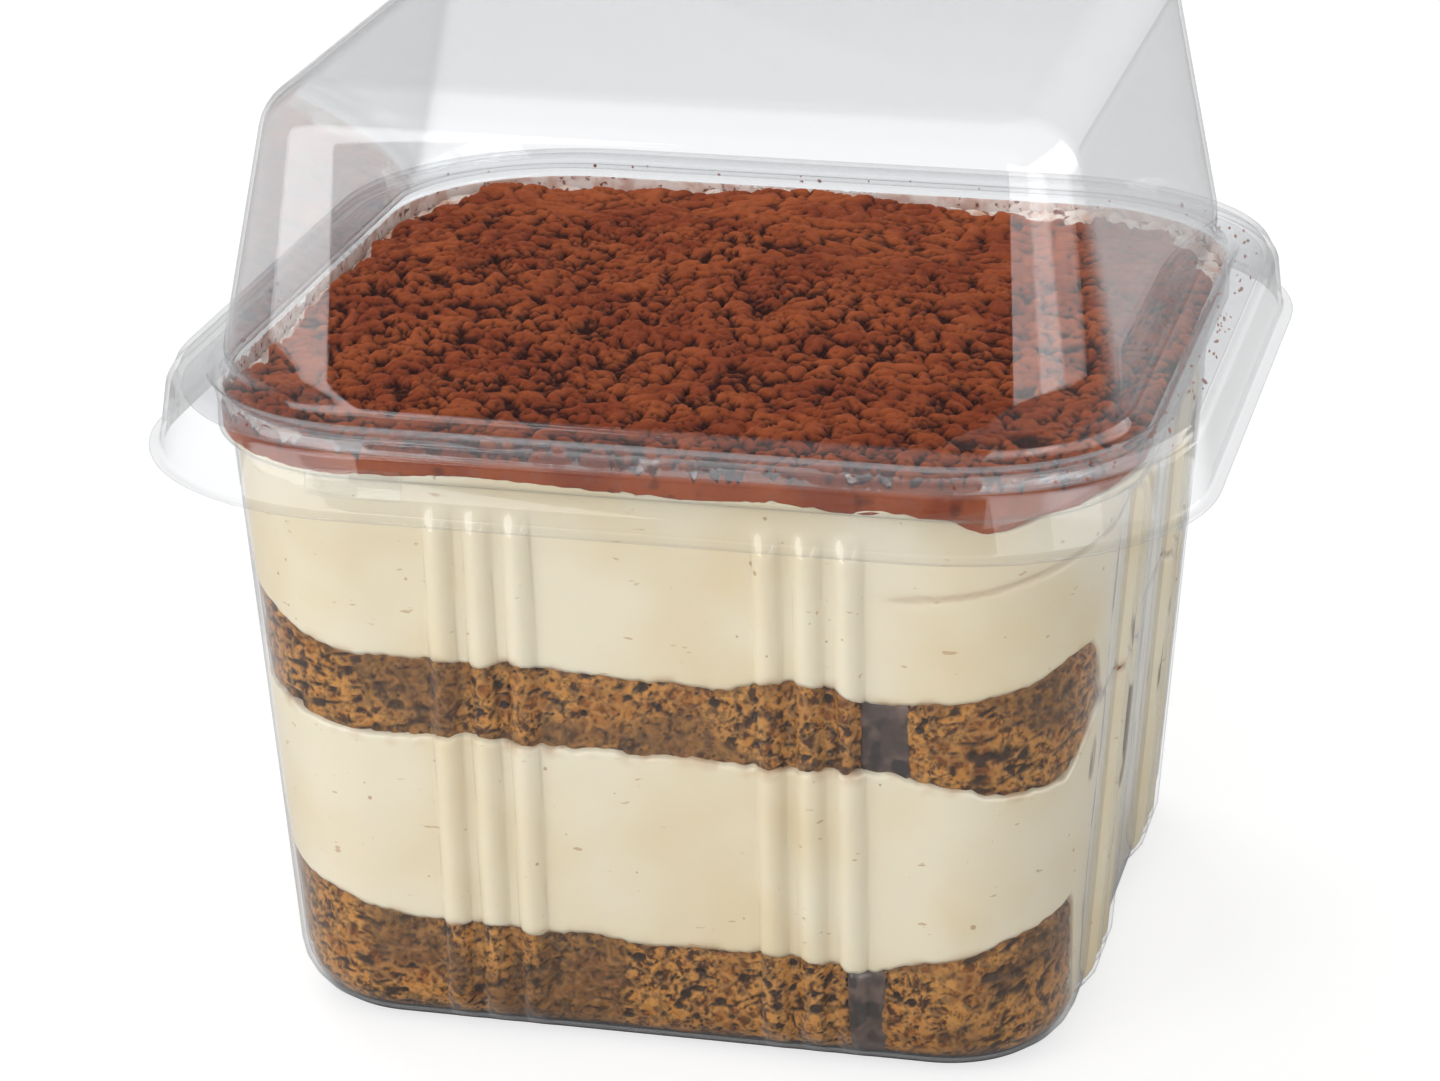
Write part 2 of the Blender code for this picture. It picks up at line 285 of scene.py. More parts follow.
def sponge_material():
    """Coffee-soaked sponge: golden crumb with painted highlights on its raised ridges between the cells and
    painted shade in its pores and small hollows, greyer where it is wettest, and with painted contact shade
    at the bottom.
    """
    paint = Paint("sponge")
    pore_shade = paint.attribute("pore_shade")
    wet = paint.attribute("wet")
    fine = paint.cells(0.8)
    lit_walls = 1.0 - paint.cells(1.7, "DISTANCE_TO_EDGE").above(0.03, 0.2)
    crumb = paint.mix(linear(74, 38, 8), linear(206, 140, 62), paint.noise(1.1, 4.0, 0.68).above(0.42, 0.58))
    crumb = paint.mix(crumb, linear(150, 84, 18), paint.noise(5.0, 2.0).above(0.48, 0.62) * 0.55)
    # Painted highlight: the raised ridges between the cells are made lighter.
    crumb = paint.mix(crumb, linear(222, 166, 92), lit_walls * 0.35)
    # Painted shade in the small hollows of the bump, at the middles of the fine cells.
    crumb = paint.mix(crumb, linear(60, 30, 8), (1.0 - fine.above(0.1, 0.4)) * 0.6)
    # Painted shade: the pores and creases are darkened almost to black.
    crumb = paint.mix(crumb, linear(36, 16, 6), pore_shade.above(0.12, 0.7) * 0.94)
    soaked = paint.mix(linear(124, 86, 50), linear(58, 36, 20), paint.noise(1.0, 3.0, 0.6).above(0.38, 0.62))
    base = paint.mix(crumb, soaked, wet)
    # Painted contact shade: the crumb is darkened almost to black in its lowest 1 to 2.6 mm, where the cup
    # stands on the floor.
    base = paint.mix(linear(40, 24, 18), base, paint.axis("Z").above(1.0, 2.6))
    height = fine * 0.6 + lit_walls * 0.5 + paint.noise(0.5, 2.0) * 0.5
    shader = paint.add("ShaderNodeBsdfPrincipled", {}, {
        "Base Color": base,
        "Roughness": 0.5 + paint.noise(3.0) * 0.3 - wet * 0.15,
        "Normal": paint.bump(height, 0.25, 0.8),
        "Specular IOR Level": 0.15,
        "Subsurface Weight": 0.1,
        "Subsurface Scale": 1.5 * MM,
    })
    return paint.surface(shader)


def soaked_material():
    """The dark coffee-soaked crumb that fills the gaps between the sponges."""
    paint = Paint("soaked_crumb")
    dark = paint.mix(linear(66, 47, 40), linear(108, 84, 72), paint.noise(2.2, 3.0, 0.6).above(0.38, 0.62))
    dark = paint.mix(dark, linear(34, 20, 14), paint.noise(3.6, 2.0).above(0.54, 0.62))
    shader = paint.add("ShaderNodeBsdfPrincipled", {}, {
        "Base Color": dark,
        "Roughness": 0.35 + paint.noise(2.0) * 0.2,
        "Normal": paint.bump(paint.noise(1.2, 2.0), 0.2, 0.5),
    })
    return paint.surface(shader)


def cocoa_material():
    """Matt reddish-brown powder, darkened and reddened down in the pits and creases as painted shade."""
    paint = Paint("cocoa")
    pit_shade_and_patches = paint.attribute("pit_shade_and_patches")
    base = paint.mix(linear(166, 82, 40), linear(140, 61, 28), paint.noise(7.0, 2.0).above(0.35, 0.65))
    base = paint.mix(base, linear(182, 98, 54), paint.noise(1.8, 3.0, 0.6).above(0.55, 0.75) * 0.5)
    # Painted shade: the pits and creases are darkened almost to black.
    base = paint.mix(base, linear(42, 12, 5), pit_shade_and_patches.above(0.08, 0.62) * 0.96)
    grain = paint.noise(0.35, 3.0, 0.7)
    base = paint.mix(base, linear(104, 48, 26), grain.above(0.5, 0.75) * 0.35)
    smear = paint.mix(linear(236, 222, 212), linear(216, 176, 154), paint.noise(2.6, 2.0).above(0.4, 0.65))
    smear = paint.mix(smear, linear(120, 62, 40), paint.noise(1.3, 3.0, 0.6).above(0.56, 0.66))
    base = paint.mix(base, smear, paint.attribute("bare").above(0.4, 0.7))
    shader = paint.add("ShaderNodeBsdfPrincipled", {}, {
        "Base Color": base,
        "Roughness": 0.92,
        "Normal": paint.bump(grain, 0.1, 0.6),
        "Specular IOR Level": 0.15,
    })
    return paint.surface(shader)


def smear_material():
    """Thin cream dragged up the wall, pinkish white with cocoa in it, broken at its edges."""
    paint = Paint("smear")
    cover = paint.attribute("cover")
    body = paint.noise(2.6, 3.0, 0.6) + paint.noise(0.7, 2.0) * 0.25
    mask = (body + cover * 0.75).above(0.92, 1.12)
    colour = paint.mix(linear(238, 224, 217), linear(214, 178, 164), paint.noise(2.0, 2.0).above(0.4, 0.65))
    colour = paint.mix(colour, linear(124, 66, 44), paint.noise(0.9, 3.0, 0.6).above(0.58, 0.68))
    shader = paint.add("ShaderNodeBsdfPrincipled", {}, {
        "Base Color": colour,
        "Roughness": 0.6,
        "Alpha": mask * 0.92,
    })
    return paint.surface(shader)


def plastic_material():
    """Thin clear film: it lets most light straight through and mirrors more towards its edges. At the very
    bottom it is painted dark as contact shade.
    """
    paint = Paint("clear_plastic")
    clear = paint.add("ShaderNodeBsdfTransparent", {}, {"Color": (0.975, 0.978, 0.982, 1.0)})
    # Painted contact shade: in the lowest 0.5 to 2.4 mm the film turns into a dark brown haze that mirrors
    # less.
    base = 1.0 - paint.axis("Z").above(0.5, 2.4)
    haze = paint.add("ShaderNodeBsdfDiffuse", {}, {
        "Color": paint.mix(linear(176, 179, 184), linear(58, 42, 34), base),
    })
    edge = Value(paint, paint.add("ShaderNodeLayerWeight", {}, {"Blend": 0.5}).outputs["Facing"])
    body = paint.add("ShaderNodeMixShader", {}, {
        0: 0.008 + edge ** 6.0 * 0.5 + base * 0.75,
        1: clear.outputs[0],
        2: haze.outputs[0],
    })
    gloss = paint.add("ShaderNodeBsdfGlossy", {}, {"Roughness": 0.03})
    mirror = 0.022 + edge ** 5.0 * 0.8 * (1.0 - base * 0.8)
    shader = paint.add("ShaderNodeMixShader", {}, {0: mirror, 1: body.outputs[0], 2: gloss.outputs[0]})
    return paint.surface(shader)


# ---------------------------------------------------------------- outlines

def rib_height(along):
    """How far the half-round ribs stand out at a place along one side, from 0 to 1."""
    for group in (-RIB_GROUP, RIB_GROUP):
        for place in (-1, 0, 1):
            off = abs(along - group - place * RIB_PITCH)
            if off < RIB_HALF:
                return math.cos(off / RIB_HALF * math.pi / 2) ** 0.6
    return 0.0


def cup_section(z, inset):
    """Half width, corner radius and rib rise of the cup's skin at a height, inset from outside."""
    rise = z / BODY_HEIGHT
    half = lerp(BASE_HALF, BODY_HALF, rise)
    corner = lerp(BASE_CORNER, BODY_CORNER, rise)
    step = smooth(SHOULDER_Z, MOUTH_Z, z)
    half = lerp(half, MOUTH_HALF, step)
    corner = lerp(corner, MOUTH_CORNER, step)
    radius = BASE_FILLET - inset
    tuck = 0.0
    if z - inset < radius:
        tuck = radius - math.sqrt(max(0.0, radius ** 2 - (radius - max(0.0, z - inset)) ** 2))
    rib = RIB_RISE * smooth(0.0, BASE_FILLET, z) * (1.0 - smooth(RIB_TOP, RIB_END, z))
    return half - inset - tuck, corner - inset - min(tuck, corner / 2), rib


def stations(side_steps, arc_steps):
    """Places round a four-sided outline, as (corner number, share along, whether on the arc)."""
    places = []
    for quarter in range(4):
        steps = side_steps[quarter % len(side_steps)]
        places += [(quarter, i / arc_steps, True) for i in range(arc_steps)]
        places += [(quarter, i / steps, False) for i in range(steps)]
    return places


def outline_point(station, low, high, corners, rib=0.0):
    """A point of a rounded rectangle and the way out from it. Corner 0 is at +X +Y, 1 at -X +Y."""
    quarter, share, on_arc = station
    radius = corners[quarter]
    right = quarter in (0, 3)
    top = quarter in (0, 1)
    if on_arc:
        angle = math.radians(90 * (quarter + share))
        x = (high[0] - radius if right else low[0] + radius) + radius * math.cos(angle)
        y = (high[1] - radius if top else low[1] + radius) + radius * math.sin(angle)
        return x, y, math.cos(angle), math.sin(angle)
    after = corners[(quarter + 1) % 4]
    if quarter == 0:
        x, y, out = lerp(high[0] - radius, low[0] + after, share), high[1], (0, 1)
    elif quarter == 1:
        x, y, out = low[0], lerp(high[1] - radius, low[1] + after, share), (-1, 0)
    elif quarter == 2:
        x, y, out = lerp(low[0] + radius, high[0] - after, share), low[1], (0, -1)
    else:
        x, y, out = high[0], lerp(low[1] + radius, high[1] - after, share), (1, 0)
    stand = rib * rib_height(x if out[0] == 0 else y)
    return x + out[0] * stand, y + out[1] * stand, out[0], out[1]


def square_ring(places, z, half, corner, rib=0.0):
    """A ring of points round a rounded square at one height."""
    ring = []
    for place in places:
        x, y, _, _ = outline_point(place, (-half, -half), (half, half), (corner,) * 4, rib)
        ring.append((x, y, z))
    return ring


def reach(angle, half, corner):
    """Distance from the middle of a rounded square to its edge at an angle."""
    across, up = sorted((abs(math.cos(angle)), abs(math.sin(angle))), reverse=True)
    flat = half - corner
    if half * up / across <= flat:
        return half / across
    middle = flat * (across + up)
    return middle + math.sqrt(max(0.0, middle ** 2 - 2 * flat ** 2 + corner ** 2))


# ---------------------------------------------------------------- meshes

def next_ring(bm, verts):
    """Extrude a closed ring of edges and return the new vertices in the same order."""
    count = len(verts)
    edges = [bm.edges.get((verts[i], verts[(i + 1) % count])) for i in range(count)]
    made = bmesh.ops.extrude_edge_only(bm, edges=edges)["geom"]
    fresh = {item for item in made if isinstance(item, bmesh.types.BMVert)}
    above = []
    for vert in verts:
        above.append(next(e.other_vert(vert) for e in vert.link_edges if e.other_vert(vert) in fresh))
    return above


def place_ring(verts, ring, layers):
    """Move vertices to a ring's points. What follows x, y, z is stored in the vertex layers."""
    for vert, point in zip(verts, ring):
        vert.co = Vector(point[:3]) * MM
        for layer, value in zip(layers, point[3:]):
            vert[layer] = value


def loft(rings, attributes=(), closed=False):
    """A skin drawn through rings: a circle is laid on the first and extruded to each of the rest."""
    bm = bmesh.new()
    layers = [bm.verts.layers.float.new(name) for name in attributes]
    first = bmesh.ops.create_circle(bm, segments=len(rings[0]), radius=1.0)["verts"]
    place_ring(first, rings[0], layers)
    last = first
    for ring in rings[1:]:
        last = next_ring(bm, last)
        place_ring(last, ring, layers)
    if closed:
        edges = [edge for edge in bm.edges if len(edge.link_faces) == 1]
        bmesh.ops.bridge_loops(bm, edges=edges)
    else:
        bmesh.ops.contextual_create(bm, geom=first)
        bmesh.ops.contextual_create(bm, geom=last)
    bmesh.ops.remove_doubles(bm, verts=bm.verts, dist=0.002 * MM)
    bmesh.ops.recalc_face_normals(bm, faces=bm.faces)
    return bm


def piece(name, bm, material, replaces=None, sharp=None):
    """Turn a bmesh into a finished piece that rides on the cup's one body."""
    mesh = bpy.data.meshes.new(name)
    bm.to_mesh(mesh)
    bm.free()
    mesh.shade_smooth()
    if sharp:
        mesh.set_sharp_from_angle(angle=math.radians(sharp))
    mesh.materials.append(material)
    obj = bpy.data.objects.new(name, mesh)
    bpy.context.scene.collection.objects.link(obj)
    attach(obj, "root")
    if replaces:
        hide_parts(replaces)
    return obj


def softened(profile, radius, steps=4):
    """Round off the corners of a profile of (height, half width, corner radius)."""
    soft = [profile[0]]
    for before, here, after in zip(profile, profile[1:], profile[2:]):
        a, b, c = Vector(before), Vector(here), Vector(after)
        back = min(radius, (a - b).length / 2.1)
        ahead = min(radius, (c - b).length / 2.1)
        start = b + (a - b).normalized() * back
        end = b + (c - b).normalized() * ahead
        for step in range(steps + 1):
            t = step / steps
            soft.append(tuple(start.lerp(b, t).lerp(b.lerp(end, t), t)))
    soft.append(profile[-1])
    return soft


# ---------------------------------------------------------------- plastic

def make_cup(material):
    """The clear tub: ribbed body, rounded base edge, shoulder and flat rim."""
    places = stations([200], 24)
    levels = [BASE_FILLET * (1 - math.cos(math.radians(15 * k))) for k in range(7)]
    levels += [12.0, 24.0, 36.0, 48.0, RIB_TOP]
    levels += [lerp(RIB_TOP, RIB_END, k / 6) for k in range(1, 7)]
    levels += [60.4, SHOULDER_Z, 61.5, 61.7, 61.9, MOUTH_Z, 62.6]
    rings = []
    for z in levels:
        half, corner, rib = cup_section(z, 0.0)
        rings.append(square_ring(places, z, half, corner, rib))
    under = RIM_TOP - RIM_THICK
    rim = [(under - 1.5, MOUTH_HALF, MOUTH_CORNER), (under, MOUTH_HALF + 0.1, MOUTH_CORNER),
           (under, RIM_HALF, RIM_CORNER), (RIM_TOP, RIM_HALF, RIM_CORNER),
           (RIM_TOP, MOUTH_HALF - WALL, MOUTH_CORNER - WALL),
           (RIM_TOP - 2.0, MOUTH_HALF - WALL, MOUTH_CORNER - WALL)]
    for z, half, corner in softened(rim, 0.3, 3):
        rings.append(square_ring(places, z, half, corner))
    for z in reversed(levels):
        half, corner, rib = cup_section(z + WALL, WALL)
        rings.append(square_ring(places, z + WALL, half, corner, rib))
    return piece("cup_shell", loft(rings), material, "cup")


def lid_profile():
    """The lid's outer skin from the lip's edge to the rim of the dome's flat top."""
    profile = [
        (LIP_Z, SKIRT_HALF + 0.2, LIP_CORNER - 1),
        (LIP_Z, LIP_HALF, LIP_CORNER),
        (LIP_Z + LID_WALL, LIP_HALF, LIP_CORNER),
        (LIP_Z + LID_WALL + 0.1, SKIRT_HALF, LIP_CORNER - 1),
        (TIER_Z - 1.6, TIER_HALF + 0.55, LIP_CORNER),
        (TIER_Z - 1.2, TIER_HALF + 0.1, LIP_CORNER),
        (TIER_Z, TIER_HALF - 0.2, LIP_CORNER),
        (TIER_Z, GROOVE_OUT + 0.3, 21.0),
        (TIER_Z - GROOVE_DEPTH, GROOVE_OUT - 0.4, 20.5),
        (TIER_Z - GROOVE_DEPTH, GROOVE_IN, 19.3),
        (TIER_Z + 0.3, DOME_HALF, DOME_CORNER + DOME_FLARE),
    ]
    profile = softened(profile, 0.45, 3)
    for z in (TIER_Z + 0.9, TIER_Z + 1.5, TIER_Z + 2.2, TIER_Z + 3.0):
        profile.append(dome_level(z, 0.0))
    for step in range(1, 7):
        profile.append(dome_level(lerp(TIER_Z + 3.0, DOME_TOP - DOME_FILLET - 0.2, step / 6), 0.0))
    for step in range(9):
        angle = math.radians(90 * step / 8)
        z = DOME_TOP - DOME_FILLET * (1 - math.sin(angle))
        profile.append(dome_level(z, DOME_FILLET * (1 - math.cos(angle))))
    return profile


def dome_level(z, tuck):
    rise = (z - TIER_Z) / (DOME_TOP - TIER_Z)
    half = lerp(DOME_HALF, DOME_TOP_HALF, rise) - tuck
    flare = DOME_FLARE * (1.0 - smooth(0.0, 0.1, rise))
    return z, half, lerp(DOME_CORNER, DOME_TOP_CORNER, rise) + flare - tuck


def make_lid(material):
    """The dome lid: one closed skin with its inner side a wall's thickness in."""
    places = stations([40], 18)
    outer = lid_profile()
    rings = []
    for z, half, corner in reversed(outer):
        rings.append(square_ring(places, z, half, corner))
    rings.append(square_ring(places, LIP_Z, SKIRT_HALF - LID_WALL, LIP_CORNER - 1 - LID_WALL))
    top = DOME_TOP - TIER_Z
    for z, half, corner in outer[LIP_RINGS:]:
        dome = smooth(0.0, 1.0, (z - TIER_Z) / (top * 0.06))
        drop = lerp(LID_WALL, 0.0, dome) if z < DOME_TOP - DOME_FILLET else 0.0
        drop += LID_WALL * smooth(DOME_TOP - DOME_FILLET, DOME_TOP, z)
        rings.append(square_ring(places, z - drop, half - LID_WALL, corner - LID_WALL))
    return piece("lid_shell", loft(rings), material, "lid")


def plate(bm, size, bevel, matrix):
    """A small block with rounded edges."""
    made = bmesh.ops.create_cube(bm, size=1.0, matrix=matrix @ Matrix.Diagonal((*size, 1.0)))["verts"]
    edges = list({edge for vert in made for edge in vert.link_edges})
    bmesh.ops.bevel(bm, geom=edges, offset=bevel, offset_type="OFFSET", segments=3,
                    profile=0.5, affect="EDGES", material=-1)


def make_lid_tab(material):
    """The raised catch on the front of the skirt and the small stop beside the dome's corner."""
    bm = bmesh.new()
    lean = math.atan2(SKIRT_HALF - TIER_HALF, TIER_Z - LIP_Z)
    z = lerp(LIP_Z, TIER_Z, 0.45)
    depth = lerp(SKIRT_HALF, TIER_HALF + 0.55, 0.5) + 0.2
    turn = Euler((-lean, 0, 0)).to_matrix().to_4x4()
    at = Matrix.Translation(Vector((-25.9, -depth, z)) * MM)
    plate(bm, (9.6 * MM, 0.5 * MM, 2.9 * MM), 0.22 * MM, at @ turn)
    for x, y in ((40.4, -49.2), (43.6, -47.4)):
        spin = Euler((0, 0, math.radians(58))).to_matrix().to_4x4()
        spot = Matrix.Translation(Vector((x, y, TIER_Z)) * MM)
        plate(bm, (2.6 * MM, 0.7 * MM, 0.6 * MM), 0.25 * MM, spot @ spin)
    return piece("lid_catches", bm, material)


# ---------------------------------------------------------------- food surfaces

def surface(mean, swells):
    """The height of a surface between two layers at x, y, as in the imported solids."""
    def height(x, y):
        z = mean + 0.35 * math.sin(0.16 * x + 0.05 * y) + 0.3 * math.sin(0.13 * y + 1.0)
        for centre, half_length, rise in swells:
            z += rise * math.exp(-((x - centre) / half_length) ** 2)
        return z
    return height


lower_sponge_top = surface(LOWER_SPONGE_Z, LOWER_SPONGE_SWELLS)
lower_cream_top = surface(LOWER_CREAM_Z, LOWER_CREAM_SWELLS)
upper_sponge_top = surface(UPPER_SPONGE_Z, UPPER_SPONGE_SWELLS)
upper_cream_top = surface(UPPER_CREAM_Z, UPPER_CREAM_SWELLS)
cocoa_mean = surface(COCOA_Z, COCOA_SWELLS)


def ragged(height, coarse, fine, shift):
    """A surface with an uneven edge: low waves and small teeth."""
    def edge(x, y):
        teeth = rough(x, y, 0, 1.3, shift) * fine + rough(x, y, 0, 0.6, shift) * fine * 0.5
        return height(x, y) + rough(x, y, 0, 5.0, shift) * coarse + teeth
    return edge


def right_wall(x, y):
    """1 on the right wall, where cream covers the end of the sponge, and 0 elsewhere."""
    if x <= 0.0:
        return 0.0
    return 1.0 - smooth(0.67, 0.79, abs(y) / x + 0.03 * rough(x, y, 0, 3.0))


def cream_floor(x, y):
    """Lower edge of the upper cream at the wall: on the sponge, and down over its right end."""
    edge = ragged(upper_sponge_top, 0.5, 0.22, 3.0)(x, y) - 0.35
    return lerp(edge, MEETING_Z, right_wall(x, y))


def cream_base(x, y):
    """Lower edge of the lower cream: on the sponge, and down to the base over its right end."""
    edge = ragged(lower_sponge_top, 0.5, 0.25, 11.0)(x, y) - 0.3
    return lerp(edge, BASE_FILLET * 0.5, right_wall(x, y))


def cream_ceiling(x, y):
    """Upper edge of the lower cream at the wall: under the sponge, and up over its right end."""
    edge = ragged(lower_cream_top, 0.6, 0.3, 7.0)(x, y) + 0.35
    around = 1.0 - smooth(0.7, 0.9, abs(y) / x) if x > 0.0 else 0.0
    return lerp(edge, MEETING_Z - 0.05, around)


def block_rings(bottom, top, rows, places, inset, ends=(None, None), corners=(None, None), **looks):
    """Rings up the side of a layer that fills the cup from wall to wall, or up to an end in it.

    ends are the x of a left and right end inside the cup, and corners the radii there.
    looks may hold round_over, which rounds the top and bottom edges, and relief, a function of
    x, y, z that returns how far the surface is sunk and the values to store there.
    """
    round_over = looks.get("round_over", 0.3)
    relief = looks.get("relief")
    middle = (bottom(0.0, 0.0) + top(0.0, 0.0)) / 2
    rings = []
    for row in range(rows + 1):
        share = row / rows
        ring = []
        for place in places:
            x, y, _, _ = fitted(place, middle, inset, ends, corners)
            low = bottom(x, y)
            high = top(x, y)
            z = lerp(low, high, share)
            x, y, out_x, out_y = fitted(place, z, inset, ends, corners)
            near = max(0.0, min(z - low, high - z)) / round_over
            sunk = round_over * (1 - math.sqrt(1 - (1 - near) ** 2)) if near < 1 else 0.0
            stored = ()
            if relief:
                deeper, stored = relief(x, y, z, low, high)
                sunk += deeper
            ring.append((x - out_x * sunk, y - out_y * sunk, z, *stored))
        rings.append(ring)
    return rings


def fitted(place, z, inset, ends, corners):
    """A point at the cup's inner wall at height z, or on an end inside the cup."""
    half, corner, rib = cup_section(z, inset)
    low_x = -half if ends[0] is None else ends[0](z)
    high_x = half if ends[1] is None else min(half, ends[1](z))
    left = corner if corners[0] is None else corners[0]
    right = corner if corners[1] is None else corners[1]
    ribbed = 0.0 if (place[0] == 3 and ends[1] is not None) else rib
    if place[0] == 1 and ends[0] is not None:
        ribbed = 0.0
    radii = (right, left, left, right)
    return outline_point(place, (low_x, -half), (high_x, half), radii, ribbed)


def capped(rings, bottom, top):
    """Rings that close a block over its hidden bottom and top."""
    centre_x = sum(p[0] for p in rings[0]) / len(rings[0])
    below = [shrunk(rings[0], share, centre_x, bottom) for share in (0.3, 0.7, 0.95)]
    above = [shrunk(rings[-1], share, centre_x, top) for share in (0.95, 0.7, 0.3)]
    return below + rings + above


def shrunk(ring, share, centre_x, height):
    smaller = []
    for point in ring:
        x = lerp(centre_x, point[0], share)
        y = point[1] * share
        smaller.append((x, y, height(x, y), *point[3:]))
    return smaller


# ---------------------------------------------------------------- food

def cream_relief(bottom_stain, top_stain):
    """Cream is smooth, stained a little where it meets the sponge, and along the spoon's fold sunk a little
    and darkened with painted shade.
    """
    def relief(x, y, z, low, high):
        stain_and_fold_shade = 0.0
        if bottom_stain:
            stain_and_fold_shade = max(stain_and_fold_shade, 1 - (z - low) / 1.1)
        if top_stain:
            stain_and_fold_shade = max(stain_and_fold_shade, 1 - (high - z) / 1.3)
        patchy = smooth(-0.1, 0.5, rough(x, y, z, 2.2, 5.0))
        # The fold is sunk 0.25 mm and darkened with painted shade.
        fold = math.exp(-((z - FOLD_Z - FOLD_RISE * (x - FOLD_X) ** 2) / 0.3) ** 2)
        fold *= smooth(FOLD_X - 2.0, FOLD_X + 3.0, x) if y < 0 else 0.0
        return 0.25 * fold, (max(max(0.0, stain_and_fold_shade) * patchy * 0.8, 0.45 * fold),)
    return relief


def make_cream(name, bottom, top, material, node, stains):
    places = stations([230], 34)
    rings = block_rings(bottom, top, 44, places, FOOD_INSET, relief=cream_relief(*stains))
    bm = loft(capped(rings, bottom, top), attributes=("stain_and_fold_shade",))
    return piece(name, bm, material, node)


def sponge_relief(shift):
    """Open crumb: round pores of several sizes and creases, sunk and kept for painted shade, and wetter
    patches along the edges.
    """
    def relief(x, y, z, low, high):
        spot = Vector((x / 2.0 + shift, y / 2.0, z / 1.7))
        distances, centres = noise.voronoi(spot)
        wide = 0.12 + 0.34 * abs(noise.cell(centres[0] * 7.3))
        pore_shade = smooth(0.0, 0.5, 1 - distances[0] / wide)
        folds = abs(rough(x, y, z * 1.3, 1.9, shift + 2.0))
        crease = math.exp(-folds / 0.07)
        edge = min(z - low, high - z)
        wet = smooth(1.5, 0.3, edge + 1.2 * rough(x, y, z, 2.5, shift)) * 0.6
        wet = max(wet, smooth(0.1, 0.4, rough(x, y, z, 9.0, shift + 4.0)) * 0.6)
        lumps = 0.3 * (0.6 + rough(x, y, z, 3.0, shift))
        sunk = (max(0.0, lumps) + 0.4 * pore_shade + 0.3 * crease) * smooth(-1.0, 5.0, z)
        return sunk, (min(1.0, max(pore_shade, 0.85 * crease)), min(1.0, wet))
    return relief


def seam_edge(place, middle, shift):
    """The x of a sponge's end at each height: wavy, and bulging out round a middle height."""
    def edge(z):
        bulge = 1.1 * math.exp(-((z - middle) / 3.4) ** 2) if middle else 0.0
        return place - bulge + 0.9 * rough(0, 0, z, 2.2, shift)
    return edge


def make_sponges(material):
    """The four pieces of sponge, two to a layer, parted at the seams."""
    floor = lambda x, y: WALL + 0.1
    lower_top = lambda x, y: ragged(lower_sponge_top, 0.5, 0.3, 11.0)(x, y) + 0.5
    upper_bottom = lambda x, y: lower_cream_top(x, y) - 0.4
    upper_top = lambda x, y: ragged(upper_sponge_top, 0.4, 0.2, 3.0)(x, y) + 0.5
    layers = (("lower", floor, lower_top, LOWER_SEAM, 40), ("upper", upper_bottom, upper_top, UPPER_SEAM, 30))
    for layer, bottom, top, seam, rows in layers:
        left_end = seam_edge(seam[0], 0.0, 3.0)
        right_end = seam_edge(seam[1], (bottom(24.0, 0.0) + top(24.0, 0.0)) / 2, 8.0)
        halves = (("long", (None, left_end), (None, 1.6), [150, 225, 150, 215], 0.0),
                  ("end", (right_end, None), (1.6, None), [30, 190, 30, 150], 20.0))
        for half, ends, corners, steps, shift in halves:
            places = stations(steps, 24)
            rings = block_rings(bottom, top, rows, places, SPONGE_INSET, ends, corners,
                                round_over=0.9, relief=sponge_relief(shift + rows))
            bm = loft(capped(rings, bottom, top), attributes=("pore_shade", "wet"))
            name = f"sponge_{layer}_{half}"
            piece(name + "_crumb", bm, material, name)


def make_soaked_gaps(material):
    """Dark soaked crumb between the long pieces and the end pieces."""
    places = stations([6, 40, 6, 40], 6)
    for name, bottom, top, seam in (("upper", lower_cream_top, upper_sponge_top, UPPER_SEAM),
                                    ("lower", lambda x, y: WALL + 0.2, lower_sponge_top, LOWER_SEAM)):
        ends = (lambda z, seam=seam: seam[0] - 1.2, lambda z, seam=seam: seam[1] + 1.2)
        rings = block_rings(bottom, top, 12, places, SPONGE_INSET + 0.1, ends, (0.5, 0.5))
        piece(f"soaked_gap_{name}", loft(capped(rings, bottom, top)), material)


def cocoa_height(x, y):
    """The sifted cocoa's surface: low swells, lumps and small pits. Returns the height and how strongly its
    pits and creases are painted with shade.
    """
    z = cocoa_mean(x, y) + 0.35 * rough(x, y, 0, 13.0, 2.0)
    swell = rough(x, y, 0, 4.5, 1.0) * 0.35
    bend = rough(x, y, 0, 3.0, 17.0) * 0.9
    coarse = abs(rough(x * 0.72 + bend, y + bend, 0, 1.95, 9.0))
    fine = abs(rough(x * 0.8, y - bend, 0, 0.95, 4.0))
    crease = math.exp(-coarse / 0.085) + 0.7 * math.exp(-fine / 0.08)
    calm = smooth(-0.5, 0.2, rough(x, y, 0, 17.0, 8.0) + (18.0 - y) / 50.0)
    depth = lerp(0.5, 1.0, calm)
    relief = 1.5 * (1 - math.exp(-coarse / 0.13)) + 0.7 * (1 - math.exp(-fine / 0.1)) - 1.4
    return z + swell + relief * depth, min(1.0, crease) * lerp(0.6, 1.0, calm)


def bare_band(x, y):
    """How wide a band of bare cream shows along the wall: widest at the back right."""
    back = smooth(24.0, 40.0, y)
    corner = smooth(10.0, 30.0, x) * smooth(10.0, 34.0, y)
    left = smooth(-36.0, -44.0, x) * smooth(-44.0, -20.0, y)
    return 3.4 * back + 4.2 * corner + 2.8 * left - 1.4


